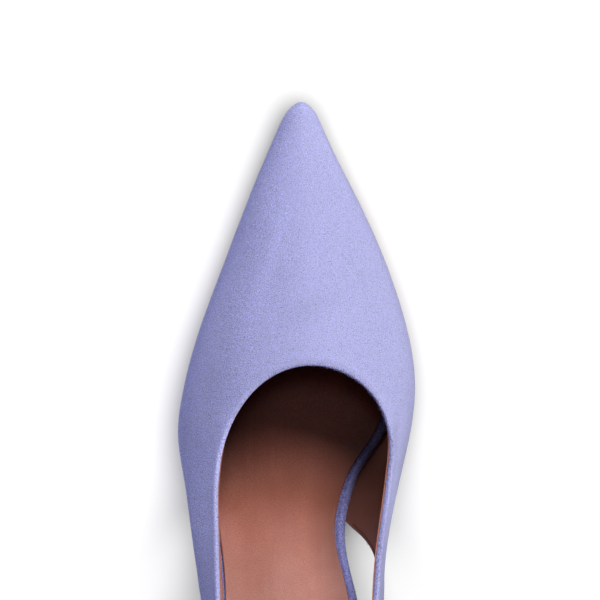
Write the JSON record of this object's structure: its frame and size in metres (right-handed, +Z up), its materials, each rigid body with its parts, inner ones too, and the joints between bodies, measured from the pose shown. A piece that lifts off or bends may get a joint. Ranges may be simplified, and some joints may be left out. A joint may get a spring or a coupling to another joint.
{
  "type": "slingback pump",
  "caption": "Left-foot slingback pump: pointed suede vamp, open waist with a plain sling strap, leather sock and sole, slim covered heel.",
  "frame": {"origin": "on the floor under the middle of the shoe's length and width", "axes": "+Y to the toe, +X to the medial (arch) side of this left shoe, +Z up"},
  "size_m": [0.0781, 0.24, 0.1248],
  "materials": {
    "suede": "lilac suede, soft short nap",
    "insole_suede": "lilac suede wrap on the insole's edge, in shadow",
    "sock_leather": "smooth caramel leather, fine grain, low sheen",
    "sole_leather": "tan sole leather, lightly polished",
    "heel_suede": "lilac suede stretched over the heel",
    "lift_rubber": "dark matt rubber"
  },
  "bodies": {
    "root": {"upper": "suede", "insole": "insole_suede", "sock_lining": "sock_leather", "outsole": "sole_leather", "heel": "heel_suede", "top_lift": "lift_rubber"}
  },
  "joints": []
}
